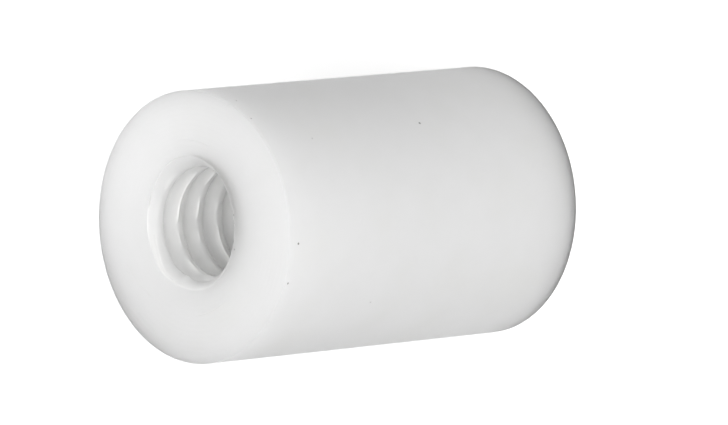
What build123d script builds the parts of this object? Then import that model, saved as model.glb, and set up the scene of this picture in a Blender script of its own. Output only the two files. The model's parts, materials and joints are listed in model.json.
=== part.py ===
# Round spacer turned from nylon rod, with a tapped through-bore countersunk at both ends.
# Units are millimetres. The spacer stands on an end face: +Z is its axis and z = 0 its lower face.
import os

from build123d import *

INCH = 25.4

# Driving dimensions
outer_diameter = 0.5 * INCH
length = 0.75 * INCH
bore_diameter = 0.201 * INCH         # number 7 tapping drill of a 1/4-20 UNC thread: its crests' diameter
countersink_diameter = 0.245 * INCH  # at the mouth, close to the thread's major diameter
outer_edge_break = 0.05              # 45 degree chamfer round each end face, barely broken
bore_offset = 0.20                   # the drill ran this far off the rod's axis, towards +X

# Worked out from them
outer_radius = outer_diameter / 2
bore_radius = bore_diameter / 2
countersink_radius = countersink_diameter / 2
countersink_depth = countersink_radius - bore_radius  # the countersink is a 90 degree cone


def turned(half_outline):
    """The solid that a closed outline of (radius, height) points sweeps round the Z axis."""
    return revolve(make_face(Plane.XZ * Polyline(*half_outline, close=True)), Axis.Z)


def both_ends(lower_end):
    """An outline's points at the lower end, then the same points mirrored at the upper end."""
    upper_end = [(radius, length - height) for radius, height in reversed(lower_end)]
    return lower_end + upper_end


rod_end = [(0, 0), (outer_radius - outer_edge_break, 0), (outer_radius, outer_edge_break)]
rod = turned(both_ends(rod_end))

bore_end = [(0, 0), (countersink_radius, 0), (bore_radius, countersink_depth)]
bore = Pos(bore_offset, 0, 0) * turned(both_ends(bore_end))

spacer_body = rod - bore

thinnest_wall = outer_radius - bore_radius - bore_offset
print(f"countersinks {countersink_depth:.3f} mm deep, thinnest wall {thinnest_wall:.3f} mm")

os.makedirs("parts", exist_ok=True)
export_step(spacer_body, "parts/spacer_body.step")
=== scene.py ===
"""A round threaded spacer of natural nylon: its turned and tapped surface, its finish and its studio."""

import json
import logging
from dataclasses import dataclass, field
from enum import Enum
from typing import Any

import bpy
import numpy as np
from mathutils import Matrix, Vector


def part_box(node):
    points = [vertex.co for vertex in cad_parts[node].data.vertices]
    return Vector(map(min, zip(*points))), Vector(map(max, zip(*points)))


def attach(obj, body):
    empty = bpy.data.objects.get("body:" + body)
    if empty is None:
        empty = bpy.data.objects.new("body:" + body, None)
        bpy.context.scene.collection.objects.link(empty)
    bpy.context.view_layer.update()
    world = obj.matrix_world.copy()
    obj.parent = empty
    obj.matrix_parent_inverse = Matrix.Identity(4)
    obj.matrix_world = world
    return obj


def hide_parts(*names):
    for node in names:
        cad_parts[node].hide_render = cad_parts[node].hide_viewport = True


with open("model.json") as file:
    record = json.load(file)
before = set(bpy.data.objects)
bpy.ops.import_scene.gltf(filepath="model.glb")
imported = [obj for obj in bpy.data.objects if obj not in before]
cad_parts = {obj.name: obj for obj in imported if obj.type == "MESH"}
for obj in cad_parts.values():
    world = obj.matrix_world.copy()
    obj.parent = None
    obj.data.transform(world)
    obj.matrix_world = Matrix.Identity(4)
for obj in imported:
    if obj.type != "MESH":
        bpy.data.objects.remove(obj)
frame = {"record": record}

LOG = logging.getLogger("spacer")
MM = 0.001
INCH = 25.4 * MM
TURN = 2 * np.pi


class End(Enum):
    """An end of the spacer. Only the upper one carries the marks of its making."""

    LOWER = "lower"
    UPPER = "upper"


def record_mount(name: str) -> dict[str, Any]:
    """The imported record's mount of that name."""
    return next(mount for mount in frame["record"]["mounts"] if mount["name"] == name)


def linear(hex_colour: str) -> tuple[float, float, float, float]:
    """Turns an sRGB hex colour to linear light.

    Args:
        hex_colour: six hex digits after a hash sign.

    Returns:
        Red, green and blue in linear light, and an alpha of 1.
    """
    parts = [int(hex_colour[start : start + 2], 16) / 255 for start in (1, 3, 5)]
    light = [part / 12.92 if part <= 0.04045 else ((part + 0.055) / 1.055) ** 2.4 for part in parts]
    return (*light, 1.0)


def soft_maximum(first: np.ndarray, second: np.ndarray, soft: float) -> np.ndarray:
    """The larger of two, rounded where they cross.

    It is half of: their sum, plus the root of their gap squared plus soft squared.

    Args:
        first: one array.
        second: the other array, of a shape that fits the first.
        soft: how wide the rounding is.

    Returns:
        The rounded maximum.
    """
    return 0.5 * (first + second + np.sqrt((first - second) ** 2 + soft**2))


def turned_from(angle: np.ndarray, centre: float) -> np.ndarray:
    """How far an angle lies from a centre the short way round, between minus and plus half a turn."""
    return (angle - centre + np.pi) % TURN - np.pi


def bell(distance: np.ndarray, width: float) -> np.ndarray:
    """A bell curve of height 1: e to the minus of the distance over the width, squared."""
    return np.exp(-((distance / width) ** 2))


def cylinder_points(radius: np.ndarray, angle: np.ndarray, height: np.ndarray) -> np.ndarray:
    """Points round the axis: radius times cosine, radius times sine, and the height.

    Args:
        radius: distances from the axis.
        angle: angles in radians, from +X towards +Y.
        height: heights.

    Returns:
        An array of the three arrays' shared shape, with x, y and z last.
    """
    radius, angle, height = np.broadcast_arrays(radius, angle, height)
    return np.stack([radius * np.cos(angle), radius * np.sin(angle), height], axis=-1)


def grid_triangles(numbers: np.ndarray) -> np.ndarray:
    """Two triangles for each cell of a grid of point numbers, facing along columns crossed with rows.

    Args:
        numbers: point numbers, as rows and columns.

    Returns:
        An array of shape (triangles, 3).
    """
    corners = [numbers[:-1, :-1], numbers[:-1, 1:], numbers[1:, 1:], numbers[1:, :-1]]
    one, two, three, four = [corner.ravel() for corner in corners]
    return np.concatenate([np.stack([one, two, three], axis=1), np.stack([one, three, four], axis=1)])


def mesh_object(
    name: str, points: np.ndarray, faces: np.ndarray, shares: dict[str, np.ndarray] | None = None
) -> bpy.types.Object:
    """Puts whole arrays of points and triangles into a smooth-shaded mesh object at the origin.

    Args:
        name: the object's name.
        points: an array of shape (points, 3), in metres.
        faces: an array of shape (triangles, 3) of point numbers, counter-clockwise from outside.
        shares: numbers that the finish reads, one for each point, by name.

    Returns:
        The new object, linked to the scene.
    """
    mesh = bpy.data.meshes.new(name)
    mesh.vertices.add(len(points))
    mesh.vertices.foreach_set("co", points.astype(np.float32).ravel())
    mesh.loops.add(faces.size)
    mesh.loops.foreach_set("vertex_index", faces.astype(np.int32).ravel())
    mesh.polygons.add(len(faces))
    mesh.polygons.foreach_set("loop_start", np.arange(0, faces.size, 3, dtype=np.int32))
    for share_name, share in (shares or {}).items():
        attribute = mesh.attributes.new(share_name, "FLOAT", "POINT")
        attribute.data.foreach_set("value", share.astype(np.float32))
    mesh.update(calc_edges=True)
    mesh.validate()
    mesh.shade_smooth()
    piece = bpy.data.objects.new(name, mesh)
    bpy.context.scene.collection.objects.link(piece)
    return piece


def add_node(
    tree: Any, kind: str, settings: dict[str, Any] | None = None, inputs: dict[Any, Any] | None = None
) -> Any:
    """Adds a node, sets its settings, and fills its inputs.

    Args:
        tree: the node tree.
        kind: the node's type.
        settings: the node's own settings by name.
        inputs: each input's value, or another node's output to link to it.

    Returns:
        The new node.
    """
    node = tree.nodes.new(kind)
    for key, value in (settings or {}).items():
        setattr(node, key, value)
    for key, value in (inputs or {}).items():
        if isinstance(value, bpy.types.NodeSocket):
            tree.links.new(value, node.inputs[key])
        else:
            node.inputs[key].default_value = value
    return node


@dataclass(frozen=True)
class TappedThread:
    """A 1/4-20 UNC internal thread: a right-hand helix whose flanks stand 30 degrees off square to the axis.

    The tap left a thin broken burr along the crest's upper corner.
    """

    crest_radius: float
    root_radius: float = 0.125 * INCH
    pitch: float = INCH / 20
    flank_angle: float = np.radians(30)
    corner_round: float = 0.14 * MM
    start_angle: float = np.radians(212)
    burr_height: float = 0.09 * MM
    burr_width: float = 0.06 * MM
    burr_cover: float = 0.6
    burr_contrast: float = 1.6
    corner_crowding: float = 2.0
    corner_reach: float = 0.03

    def crest_half_width(self) -> float:
        """Half the crest's width along the axis, where the root's flat is an eighth of the pitch."""
        flank_width = (self.root_radius - self.crest_radius) * np.tan(self.flank_angle)
        return self.pitch / 2 - self.pitch / 16 - flank_width

    def share(self, angle: np.ndarray, height: np.ndarray) -> np.ndarray:
        """Place along the helix in pitches: the height in pitches less the turns from the start angle."""
        return height / self.pitch - (angle - self.start_angle) / TURN

    def burr(self, share: np.ndarray, angle: np.ndarray) -> np.ndarray:
        """How much of its full height the burr has.

        It is a bell curve across the crest's upper corner. Along the helix it is broken where the mean
        of three sines of the angle wound so far is well below zero.

        Args:
            share: place in pitches, where a whole number is the middle of a crest.
            angle: angles in radians.

        Returns:
            Shares from 0 to 1.
        """
        turn = np.floor(share + 0.5)
        across = (share - turn) * self.pitch - self.crest_half_width()
        wound = angle + TURN * turn
        broken = (np.sin(1.7 * wound + 1.0) + np.sin(4.3 * wound + 2.0) + np.sin(11.0 * wound)) / 3
        return bell(across, self.burr_width) * np.clip(self.burr_cover + self.burr_contrast * broken, 0, 1)

    def radius(self, share: np.ndarray, angle: np.ndarray) -> np.ndarray:
        """The wall's radius along the helix.

        The wall is a flat crest, a straight flank up to a flat root, and a flank back. The flank is the
        crest's radius plus the distance past the crest's edge over the tangent of the flank angle, and
        soft maxima against the crest and the root round the corners. The burr is taken off that.

        Args:
            share: place in pitches, where a whole number is the middle of a crest.
            angle: angles in radians.

        Returns:
            Radii in metres.
        """
        away = np.abs((share + 0.5) % 1.0 - 0.5) * self.pitch
        flank = self.crest_radius + (away - self.crest_half_width()) / np.tan(self.flank_angle)
        lifted = soft_maximum(flank, np.full_like(flank, self.crest_radius), self.corner_round)
        wall = -soft_maximum(-lifted, np.full_like(flank, -self.root_radius), self.corner_round)
        return wall - self.burr_height * self.burr(share, angle)

    def row_shares(self, rows: int) -> np.ndarray:
        """One turn's rows, crowded towards the crest's and the root's corners.

        The rows are even steps of a running sum of a density: 1, plus a bell curve at each corner.

        Args:
            rows: how many rows one turn has.

        Returns:
            Their places in pitches, from 0 up to but not with 1.
        """
        fine = np.linspace(0, 1, 2001)
        crest = self.crest_half_width() / self.pitch
        corners = np.array([crest, 0.5 - 1 / 16, 0.5 + 1 / 16, 1 - crest])
        crowded = bell(fine[:, None] - corners, self.corner_reach).sum(axis=1)
        total = np.cumsum(1 + self.corner_crowding * crowded)
        total = (total - total[0]) / (total[-1] - total[0])
        return np.interp(np.arange(rows) / rows, total, fine)


@dataclass(frozen=True)
class WorkedMouth:
    """Where a mouth's edge is out of round: a ragged burr, a flat, a nick and a flake."""

    burr_angle: float = np.radians(270)
    burr_reach: float = 0.38 * MM
    burr_sharpness: float = 1.5
    ragged: float = 0.05 * MM
    flat_angle: float = np.radians(60)
    flat_width: float = np.radians(26)
    flat_reach: float = 0.14 * MM
    nick_angle: float = np.radians(132)
    nick_width: float = np.radians(12)
    nick_depth: float = 0.11 * MM
    flake_angle: float = np.radians(157)
    flake_depth: float = 0.55 * MM
    flake_size: float = 0.22 * MM
    flake_height: float = 0.08 * MM

    def flake(self, angle: np.ndarray, depth: np.ndarray, radius: float) -> np.ndarray:
        """How much of its full height a flake of torn nylon has, as a bell curve about its middle.

        Args:
            angle: angles in radians.
            depth: depths below the end face, in metres.
            radius: the wall's radius, which turns an angle into a distance.

        Returns:
            Shares from 0 to 1.
        """
        round_wall = turned_from(angle, self.flake_angle) * radius
        return bell(np.hypot(round_wall, depth - self.flake_depth), self.flake_size)

    def growth(self, angle: np.ndarray) -> np.ndarray:
        """How far the edge lies outside a true circle.

        The burr is a cosine about its angle, raised to its sharpness, with the mean of three quick
        sines over it. The flat and the nick are bell curves.

        Args:
            angle: angles in radians.

        Returns:
            Distances in metres, negative where the edge lies inside the circle.
        """
        lobe = np.clip(np.cos(turned_from(angle, self.burr_angle)), 0, None) ** self.burr_sharpness
        teeth = (np.sin(23 * angle) + np.sin(37 * angle + 1.0) + np.sin(53 * angle + 2.0)) / 3
        flat = self.flat_reach * bell(turned_from(angle, self.flat_angle), self.flat_width)
        nick = self.nick_depth * bell(turned_from(angle, self.nick_angle), self.nick_width)
        return nick - flat - lobe * (self.burr_reach + self.ragged * teeth)


@dataclass
class TurnedSpacer:
    """The spacer's one piece: a rod with faced ends and broken edges, two countersinks and a tapped bore."""

    length: float
    outer_radius: float
    bore_offset: float
    thread: TappedThread
    worked: WorkedMouth = field(default_factory=WorkedMouth)
    mouth_radius: float = 0.1225 * INCH
    outer_round: float = 0.05 * MM
    mouth_round: float = 0.07 * MM
    seat_round: float = 0.02 * MM
    lip_tear: float = 0.6
    columns: int = 216
    turn_rows: int = 20
    face_rings: int = 22
    arc_rows: int = 6
    rod_rows: int = 24

    def angles(self) -> np.ndarray:
        """The angle of each column of points, evenly round the axis."""
        return np.arange(self.columns) / self.columns * TURN

    def end_of(self, height: np.ndarray, end: End) -> np.ndarray:
        """Whether a height is nearer to the given end."""
        upper = height > self.length / 2
        return upper if end is End.UPPER else ~upper

    def growth(self, angle: np.ndarray, height: np.ndarray) -> np.ndarray:
        """How far the mouth's edge is outside a true circle: worked at the upper end, none at the lower."""
        return np.where(self.end_of(height, End.UPPER), self.worked.growth(angle), 0.0)

    def opened(self, radius: np.ndarray, angle: np.ndarray, height: np.ndarray) -> np.ndarray:
        """The radius, pushed outwards to the thread's wall where the tap has cut deeper.

        The thread fades out at the mouth: it is no wider than the mouth's edge plus the depth.

        Args:
            radius: the surface's radius with no thread.
            angle: angles in radians.
            height: heights in metres.

        Returns:
            Radii in metres.
        """
        tapped = self.thread.radius(self.thread.share(angle, height), angle)
        depth = np.minimum(height, self.length - height)
        limit = self.mouth_radius + self.growth(angle, height) + depth
        return soft_maximum(radius, np.minimum(tapped, limit), self.seat_round)

    def end_profile(self) -> tuple[np.ndarray, np.ndarray]:
        """One end's section from the countersink out to the rod.

        An eighth of a circle lifts from the 45 degree cone to the face. The face's rings are spaced by
        half of 1 less the cosine of their share of a half turn, so they crowd towards both edges. A
        quarter of a circle drops from the face to the rod.

        Returns:
            Radii and depths below the end face, in metres.
        """
        reach = self.mouth_round * np.tan(np.radians(22.5))
        face_start = self.mouth_radius + reach
        rise = np.linspace(np.radians(45), 0, self.arc_rows)
        lip_radius = face_start - self.mouth_round * np.sin(rise)
        lip_depth = self.mouth_round * (1 - np.cos(rise))
        face_end = self.outer_radius - self.outer_round
        spread = (1 - np.cos(np.linspace(0, np.pi, self.face_rings + 2)[1:-1])) / 2
        face_radius = face_start + (face_end - face_start) * spread
        fall = np.linspace(0, np.radians(90), self.arc_rows)
        edge_radius = face_end + self.outer_round * np.sin(fall)
        edge_depth = self.outer_round * (1 - np.cos(fall))
        radius = np.concatenate([lip_radius, face_radius, edge_radius])
        depth = np.concatenate([lip_depth, np.zeros_like(face_radius), edge_depth])
        return radius, depth

    def outside_rows(self) -> np.ndarray:
        """Rings over the lower end, up the rod and over the upper end.

        Near the mouth a ring follows the mouth's edge and the bore's offset, and by the rod's edge it is
        a true circle about the rod's axis.

        Returns:
            Points as an array (rows, columns, 3).
        """
        radius, depth = self.end_profile()
        rise = (1 - np.cos(np.linspace(0, np.pi, self.rod_rows + 2)[1:-1])) / 2
        rod_height = self.outer_round + (self.length - 2 * self.outer_round) * rise
        radius = np.concatenate([radius, np.full_like(rod_height, self.outer_radius), radius[::-1]])[:, None]
        height = np.concatenate([depth, rod_height, self.length - depth[::-1]])[:, None]
        angle = self.angles()[None, :]
        face_end = self.outer_radius - self.outer_round
        follow = np.clip((face_end - radius) / (face_end - self.mouth_radius), 0, 1)
        wide = self.opened(radius + follow * self.growth(angle, height), angle, height)
        points = cylinder_points(np.minimum(wide, self.outer_radius), angle, height)
        points[..., 0] += self.bore_offset * follow
        return points

    def bore_rows(self, low: float, high: float) -> tuple[np.ndarray, np.ndarray, np.ndarray, np.ndarray]:
        """The tapped wall, on rows that climb with the thread.

        A row's height is the pitch times its place plus its share of a turn, so a row that reaches the
        end of a turn carries on as the row one turn higher. The radius is the larger of the thread's
        and of the countersink's, which falls by as much as the depth grows.

        Args:
            low: height of the bore's lowest ring.
            high: height of its highest ring.

        Returns:
            Points (rows, columns, 3), how torn each is from 0 to 1, and where a row is below the lowest
            ring or above the highest.
        """
        first_turn = np.floor(low / self.thread.pitch) - 2
        turns = int(np.ceil((high - low) / self.thread.pitch)) + 4
        shares = first_turn + np.arange(turns)[:, None] + self.thread.row_shares(self.turn_rows)
        angle = self.angles()[None, :]
        height = (shares.reshape(-1, 1) + (angle - self.thread.start_angle) / TURN) * self.thread.pitch
        snap = 0.2 * self.thread.pitch / self.turn_rows
        cone = self.mouth_radius + self.growth(angle, height) - np.minimum(height, self.length - height)
        depth = np.where(self.end_of(height, End.UPPER), self.length - height, self.length)
        flake = self.worked.flake(angle, depth, self.thread.crest_radius)
        radius = self.opened(cone, angle, height) - self.worked.flake_height * flake
        points = cylinder_points(radius, angle, height)
        points[..., 0] += self.bore_offset
        torn = np.maximum(flake, self.thread.burr(self.thread.share(angle, height), angle))
        return points, torn, height < low + snap, height > high - snap

    def build(self) -> bpy.types.Object:
        """Joins the outside rings and the bore's climbing rows into one closed mesh.

        Bore points past an end stand for that end's ring, and triangles that this leaves with two
        corners the same are dropped.

        Returns:
            The spacer as an object at the origin.
        """
        outside = self.outside_rows()
        ring_count = len(outside)
        low_ring = np.arange(self.columns)
        high_ring = low_ring + (ring_count - 1) * self.columns
        low, high = outside[0, 0, 2], outside[-1, 0, 2]
        bore, torn_bore, under, over = self.bore_rows(low, high)
        numbers = outside[..., 0].size + np.arange(bore[..., 0].size).reshape(bore.shape[:2])
        numbers = np.where(under, low_ring, numbers)
        numbers = np.where(over, high_ring, numbers)
        carried = np.full((len(numbers), 1), high_ring[0])
        carried[: -self.turn_rows, 0] = numbers[self.turn_rows :, 0]
        wall = np.hstack([numbers, carried])
        rings = np.arange(ring_count * self.columns).reshape(ring_count, self.columns)
        skin = np.hstack([rings, rings[:, :1]])
        faces = np.concatenate([grid_triangles(skin), grid_triangles(wall)[:, ::-1]])
        distinct = (faces != np.roll(faces, 1, axis=1)).all(axis=1)
        points = np.concatenate([outside.reshape(-1, 3), bore.reshape(-1, 3)])
        on_lip = np.arange(ring_count) >= ring_count - self.arc_rows
        torn = np.concatenate([np.repeat(self.lip_tear * on_lip, self.columns), torn_bore.ravel()])
        used, faces = np.unique(faces[distinct], return_inverse=True)
        return mesh_object("turned_spacer", points[used], faces.reshape(-1, 3), {"torn": torn[used]})


@dataclass(frozen=True)
class Speck:
    """A dark speck: its angle in degrees, and its radius, height and size in millimetres."""

    angle: float
    radius: float
    height: float
    size: float
    darkness: float
    core: float = 0.2
    rim: float = 0.5


@dataclass(frozen=True)
class ArcMark:
    """A tool mark on the upper face, from one angle in degrees and radius in millimetres to another."""

    start_angle: float
    end_angle: float
    start_radius: float
    end_radius: float


SPECKS = (
    # Grains of dirt on the rod's side.
    Speck(307, 6.35, 8.7, 0.16, 0.8),
    Speck(259, 6.35, 18.5, 0.14, 0.9),
    Speck(242, 6.35, 18.8, 0.14, 0.7),
    Speck(332, 6.35, 18.4, 0.12, 0.5),
    Speck(318, 6.35, 18.8, 0.12, 0.5),
    Speck(304, 6.35, 16.0, 0.12, 0.3),
    Speck(228, 6.35, 12.7, 0.12, 0.3),
    # Dark spots round the mouth's rim, most of them where the ragged burr stands.
    Speck(291, 2.8, 19.0, 0.16, 0.6),
    Speck(278, 2.75, 19.0, 0.18, 0.7),
    Speck(270, 2.7, 19.0, 0.16, 0.6),
    Speck(245, 2.85, 19.0, 0.16, 0.5),
    Speck(187, 3.0, 18.9, 0.14, 0.5),
    Speck(166, 2.9, 18.9, 0.14, 0.5),
)
ARC_MARKS = (
    ArcMark(102, 137, 4.96, 4.37),
    ArcMark(173, 209, 4.10, 3.85),
    ArcMark(335, 368, 3.96, 4.13),
    ArcMark(135, 147, 2.83, 3.07),
)


@dataclass(frozen=True)
class NaturalNylon:
    """Natural nylon 6/6, turned and tapped.

    The eye sees a milky body that light sinks into, under a satin skin with faint facing rings, a few
    grains of dirt on the side and dark spots round the mouth's rim. Where the tools tore it, at the thread's
    burr and the mouth's lip, nylon turns white and opaque, and its edge glints.
    """

    length: float
    colour: str = "#FBFBFA"
    deep_colour: str = "#F3F3F1"
    speck_colour: str = "#77756F"
    ior: float = 1.53
    roughness: float = 0.5
    torn_roughness: float = 0.18
    torn_scatter: float = 0.1
    scatter_depth: float = 4.0 * MM
    mottle_size: float = 3.0 * MM
    grain_size: float = 0.15 * MM
    grain_height: float = 0.0012 * MM
    # The spacing is a chosen one, coarse enough to show.
    ring_spacing: float = 0.25 * MM
    ring_height: float = 0.0015 * MM
    arc_width: float = 0.05 * MM
    arc_height: float = 0.012 * MM
    arc_fade: float = 0.7
    face_skin: float = 0.04 * MM

    def speck_cover(self, tree: Any, place: Any) -> Any:
        """How far the dark specks cover a point: each speck falls off from its middle to its edge, and they
        add up.

        Args:
            tree: the material's node tree.
            place: the output with the point's Object coordinates.

        Returns:
            The output with the cover, from 0 to 1.
        """
        cover = 0.0
        for speck in SPECKS:
            turn = np.radians(speck.angle)
            middle = (speck.radius * MM * np.cos(turn), speck.radius * MM * np.sin(turn), speck.height * MM)
            away = add_node(tree, "ShaderNodeVectorMath", {"operation": "DISTANCE"}, {0: place, 1: middle})
            spot = add_node(tree, "ShaderNodeMapRange", {"interpolation_type": "SMOOTHSTEP"},
                            {"Value": away.outputs["Value"], "From Min": speck.core * speck.size * MM,
                             "From Max": speck.rim * speck.size * MM, "To Min": speck.darkness, "To Max": 0.0})
            total = add_node(tree, "ShaderNodeMath", {"operation": "ADD", "use_clamp": True},
                             {0: spot.outputs["Result"], 1: cover})
            cover = total.outputs["Value"]
        return cover

    def arc_relief(self, tree: Any, angle: Any, radius: Any) -> Any:
        """How high the tool marks stand, as shares of their full height.

        A mark's line has the middle radius plus a slope times the angle from its middle. Its height falls
        off with the distance from that line, and to nothing past either end.

        Args:
            tree: the material's node tree.
            angle: the output with the point's angle.
            radius: the output with the point's distance from the axis.

        Returns:
            The output with the marks' shares added up.
        """
        relief = 0.0
        for mark in ARC_MARKS:
            half_span = np.radians(mark.end_angle - mark.start_angle) / 2
            middle = np.radians(mark.end_angle + mark.start_angle) / 2
            middle_radius = (mark.start_radius + mark.end_radius) / 2 * MM
            slope = (mark.end_radius - mark.start_radius) / 2 * MM / half_span
            turned = add_node(tree, "ShaderNodeMath", {"operation": "SUBTRACT"}, {0: angle, 1: middle})
            near = add_node(tree, "ShaderNodeMath", {"operation": "WRAP"},
                            {0: turned.outputs["Value"], 1: np.pi, 2: -np.pi})
            line = add_node(tree, "ShaderNodeMath", {"operation": "MULTIPLY_ADD"},
                            {0: near.outputs["Value"], 1: slope, 2: middle_radius})
            gap = add_node(tree, "ShaderNodeMath", {"operation": "SUBTRACT"},
                           {0: radius, 1: line.outputs["Value"]})
            across = add_node(tree, "ShaderNodeMath", {"operation": "ABSOLUTE"}, {0: gap.outputs["Value"]})
            along = add_node(tree, "ShaderNodeMath", {"operation": "ABSOLUTE"}, {0: near.outputs["Value"]})
            ridge = add_node(tree, "ShaderNodeMapRange", {"interpolation_type": "SMOOTHSTEP"},
                             {"Value": across.outputs["Value"], "From Min": 0.0, "From Max": self.arc_width,
                              "To Min": 1.0, "To Max": 0.0})
            ends = add_node(tree, "ShaderNodeMapRange", {"interpolation_type": "SMOOTHSTEP"},
                            {"Value": along.outputs["Value"], "From Min": self.arc_fade * half_span,
                             "From Max": half_span, "To Min": 1.0, "To Max": 0.0})
            total = add_node(tree, "ShaderNodeMath", {"operation": "MULTIPLY_ADD"},
                             {0: ridge.outputs["Result"], 1: ends.outputs["Result"], 2: relief})
            relief = total.outputs["Value"]
        return relief

    def skin_height(self, tree: Any, place: Any) -> Any:
        """The skin's fine relief in metres: grain all over, and on the upper end face rings and tool marks.

        The rings are the sine of a whole turn for each ring spacing out from the axis.

        Args:
            tree: the material's node tree.
            place: the output with the point's Object coordinates.

        Returns:
            The output with the height.
        """
        parts = add_node(tree, "ShaderNodeSeparateXYZ", {}, {0: place})
        flat = add_node(tree, "ShaderNodeCombineXYZ", {}, {"X": parts.outputs["X"], "Y": parts.outputs["Y"]})
        radius = add_node(tree, "ShaderNodeVectorMath", {"operation": "LENGTH"}, {0: flat.outputs["Vector"]})
        angle = add_node(tree, "ShaderNodeMath", {"operation": "ARCTAN2"},
                         {0: parts.outputs["Y"], 1: parts.outputs["X"]})
        wave_angle = add_node(tree, "ShaderNodeMath", {"operation": "MULTIPLY"},
                              {0: radius.outputs["Value"], 1: TURN / self.ring_spacing})
        wave = add_node(tree, "ShaderNodeMath", {"operation": "SINE"}, {0: wave_angle.outputs["Value"]})
        rings = add_node(tree, "ShaderNodeMath", {"operation": "MULTIPLY"},
                         {0: wave.outputs["Value"], 1: self.ring_height})
        arcs = self.arc_relief(tree, angle.outputs["Value"], radius.outputs["Value"])
        marked = add_node(tree, "ShaderNodeMath", {"operation": "MULTIPLY_ADD"},
                          {0: arcs, 1: self.arc_height, 2: rings.outputs["Value"]})
        on_face = add_node(tree, "ShaderNodeMapRange", {},
                           {"Value": parts.outputs["Z"], "From Min": self.length - self.face_skin,
                            "From Max": self.length - 0.1 * self.face_skin, "To Min": 0.0, "To Max": 1.0})
        grain = add_node(tree, "ShaderNodeTexNoise", {}, {"Vector": place, "Scale": 1 / self.grain_size})
        fine = add_node(tree, "ShaderNodeMath", {"operation": "MULTIPLY"},
                        {0: grain.outputs["Fac"], 1: self.grain_height})
        height = add_node(tree, "ShaderNodeMath", {"operation": "MULTIPLY_ADD"},
                          {0: marked.outputs["Value"], 1: on_face.outputs["Result"],
                           2: fine.outputs["Value"]})
        return height.outputs["Value"]

    def material(self) -> bpy.types.Material:
        """The finish as a node material."""
        material = bpy.data.materials.new("natural_nylon_turned")
        material.use_nodes = True
        tree = material.node_tree
        shader = tree.nodes["Principled BSDF"]
        shader.inputs["IOR"].default_value = self.ior
        shader.inputs["Subsurface Radius"].default_value = (1.0, 1.0, 1.0)
        shader.inputs["Subsurface Scale"].default_value = self.scatter_depth
        place = add_node(tree, "ShaderNodeTexCoord").outputs["Object"]
        mottle = add_node(tree, "ShaderNodeTexNoise", {}, {"Vector": place, "Scale": 1 / self.mottle_size})
        body = add_node(tree, "ShaderNodeMix", {"data_type": "RGBA"},
                        {"Factor": mottle.outputs["Fac"], "A": linear(self.colour),
                         "B": linear(self.deep_colour)})
        specked = add_node(tree, "ShaderNodeMix", {"data_type": "RGBA"},
                         {"Factor": self.speck_cover(tree, place), "A": body.outputs["Result"],
                          "B": linear(self.speck_colour)})
        torn = add_node(tree, "ShaderNodeAttribute", {"attribute_name": "torn"})
        gloss = add_node(tree, "ShaderNodeMapRange", {},
                         {"Value": torn.outputs["Fac"], "To Min": self.roughness,
                          "To Max": self.torn_roughness})
        sinking = add_node(tree, "ShaderNodeMapRange", {},
                           {"Value": torn.outputs["Fac"], "To Min": 1.0, "To Max": self.torn_scatter})
        relief = self.skin_height(tree, place)
        bump = add_node(tree, "ShaderNodeBump", {}, {"Height": relief, "Distance": 1.0})
        tree.links.new(specked.outputs["Result"], shader.inputs["Base Color"])
        tree.links.new(gloss.outputs["Result"], shader.inputs["Roughness"])
        tree.links.new(sinking.outputs["Result"], shader.inputs["Subsurface Weight"])
        tree.links.new(bump.outputs["Normal"], shader.inputs["Normal"])
        return material


@dataclass(frozen=True)
class Softbox:
    """A square soft light: where it stands from the spacer, in degrees, its side and its brightness."""

    name: str
    azimuth: float
    elevation: float
    distance: float
    side: float
    brightness: float

    def build(self, aim: Vector) -> None:
        """Makes the lamp, turned to face the aim.

        Args:
            aim: the point that the lamp faces.
        """
        lamp = bpy.data.lights.new(self.name, "AREA")
        lamp.size = self.side
        lamp.energy = self.brightness * np.pi * self.side**2
        turn, lift = np.radians(self.azimuth), np.radians(self.elevation)
        away = Vector((np.sin(turn) * np.cos(lift), -np.cos(turn) * np.cos(lift), np.sin(lift)))
        holder = bpy.data.objects.new(self.name, lamp)
        holder.location = aim + away * self.distance
        holder.rotation_euler = away.to_track_quat("Z", "Y").to_euler()
        bpy.context.scene.collection.objects.link(holder)


LIGHTS = (
    Softbox("front", -14, 60, 0.15, 0.06, 9.6),
    Softbox("above", 50, 30, 0.15, 0.06, 0.7),
    Softbox("below", -62, 30, 0.15, 0.06, 1.5),
    Softbox("near", 145, 45, 0.03, 0.012, 3.6),
)


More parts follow.
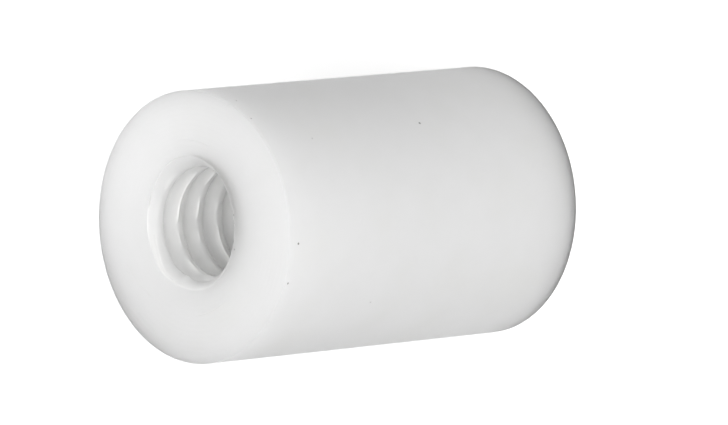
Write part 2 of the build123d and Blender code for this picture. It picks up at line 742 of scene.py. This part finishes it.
@dataclass
class Studio:
    """A white table under soft light, and the camera."""

    aim: Vector
    outer_radius: float
    softboxes: tuple[Softbox, ...] = LIGHTS
    view_elevation: float = 45.0
    view_roll: float = -95.5
    lens: float = 467.9
    distance_in_diameters: float = 34.97
    right_in_diameters: float = 0.0937
    up_in_diameters: float = 0.0028
    table_size: float = 0.5
    table_glow: float = 0.55
    dome_axis: tuple[float, float, float] = (0.0, -0.707, 0.707)
    dome_dark: float = 0.0
    dome_bright: float = 0.7
    dome_low: float = 0.02
    dome_high: float = 0.45

    def shows_white(self, tree: Any) -> Any:
        """1 for a ray from the camera, off gloss or through something clear, which all see plain white.

        Args:
            tree: the node tree.

        Returns:
            The output with 1 or 0.
        """
        ray = add_node(tree, "ShaderNodeLightPath")
        seen = add_node(tree, "ShaderNodeMath", {"operation": "MAXIMUM"},
                        {0: ray.outputs["Is Camera Ray"], 1: ray.outputs["Is Glossy Ray"]})
        white = add_node(tree, "ShaderNodeMath", {"operation": "MAXIMUM"},
                         {0: seen.outputs["Value"], 1: ray.outputs["Is Transmission Ray"]})
        return white.outputs["Value"]

    def build_table(self) -> None:
        """Makes a flat white table under the spacer, which glows a little where it is seen."""
        half = self.table_size / 2
        corners = np.array([(-half, -half, 0), (half, -half, 0), (half, half, 0), (-half, half, 0)])
        table = mesh_object("table", corners, np.array([(0, 1, 2), (0, 2, 3)]))
        material = bpy.data.materials.new("white_table")
        material.use_nodes = True
        tree = material.node_tree
        shader = tree.nodes["Principled BSDF"]
        shader.inputs["Base Color"].default_value = linear("#F0F0F0")
        shader.inputs["Specular IOR Level"].default_value = 0.0
        shader.inputs["Emission Color"].default_value = (1, 1, 1, 1)
        glow = add_node(tree, "ShaderNodeMath", {"operation": "MULTIPLY"},
                        {0: self.shows_white(tree), 1: self.table_glow})
        tree.links.new(glow.outputs["Value"], shader.inputs["Emission Strength"])
        table.data.materials.append(material)

    def build_camera(self) -> None:
        """Makes a long lens that looks down at the upper end, rolled to lay the spacer across the frame."""
        lift, roll = np.radians(self.view_elevation), np.radians(self.view_roll)
        back = Vector((0, -np.cos(lift), np.sin(lift)))
        level = Vector((1, 0, 0))
        climb = back.cross(level)
        right = level * np.cos(roll) + climb * np.sin(roll)
        up = climb * np.cos(roll) - level * np.sin(roll)
        diameter = 2 * self.outer_radius
        sideways = right * self.right_in_diameters + up * self.up_in_diameters
        offset = back * self.distance_in_diameters + sideways
        lens = bpy.data.cameras.new("camera")
        lens.lens = self.lens
        lens.sensor_width = 36
        lens.clip_start = 0.01
        lens.clip_end = 5
        camera = bpy.data.objects.new("camera", lens)
        turned = Matrix((right, up, back)).transposed().to_4x4()
        camera.matrix_world = Matrix.Translation(self.aim + offset * diameter) @ turned
        bpy.context.scene.collection.objects.link(camera)
        bpy.context.scene.camera = camera

    def build_world(self) -> None:
        """Makes a surround that is seen as white and gives a dimmer light, brightest on the front side."""
        world = bpy.data.worlds.new("surround")
        bpy.context.scene.world = world
        world.use_nodes = True
        tree = world.node_tree
        background = tree.nodes["Background"]
        background.inputs["Color"].default_value = (1, 1, 1, 1)
        place = add_node(tree, "ShaderNodeTexCoord")
        toward = add_node(tree, "ShaderNodeVectorMath", {"operation": "DOT_PRODUCT"},
                          {0: place.outputs["Generated"], 1: self.dome_axis})
        light = add_node(tree, "ShaderNodeMapRange", {"interpolation_type": "SMOOTHSTEP"},
                         {"Value": toward.outputs["Value"], "From Min": self.dome_dark,
                          "From Max": self.dome_bright, "To Min": self.dome_low, "To Max": self.dome_high})
        pick = add_node(tree, "ShaderNodeMix", {},
                        {"Factor": self.shows_white(tree), "A": light.outputs["Result"], "B": 1.0})
        tree.links.new(pick.outputs["Result"], background.inputs["Strength"])

    def build(self) -> None:
        """Makes the table, the lamps, the surround and the camera."""
        self.build_table()
        for softbox in self.softboxes:
            softbox.build(self.aim)
        self.build_world()
        self.build_camera()
        bpy.context.scene.view_settings.view_transform = "Standard"


def main() -> None:
    """Builds the spacer on its CAD frame, dresses it and sets up the studio."""
    logging.basicConfig(level=logging.INFO, format="%(name)s: %(message)s")
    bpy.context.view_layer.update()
    low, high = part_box("spacer_body")
    tapped_bore = record_mount("tapped_bore")
    thread = TappedThread(tapped_bore["dims"]["r_mm"] * MM)
    spacer = TurnedSpacer(high.z - low.z, (high.x - low.x) / 2, tapped_bore["pos_m"][0], thread)
    piece = spacer.build()
    piece.data.materials.append(NaturalNylon(spacer.length).material())
    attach(piece, "root")
    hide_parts("spacer_body")
    LOG.info("%s: %d triangles", piece.name, len(piece.data.polygons))
    Studio((low + high) / 2, spacer.outer_radius).build()


if __name__ == "__main__":
    main()
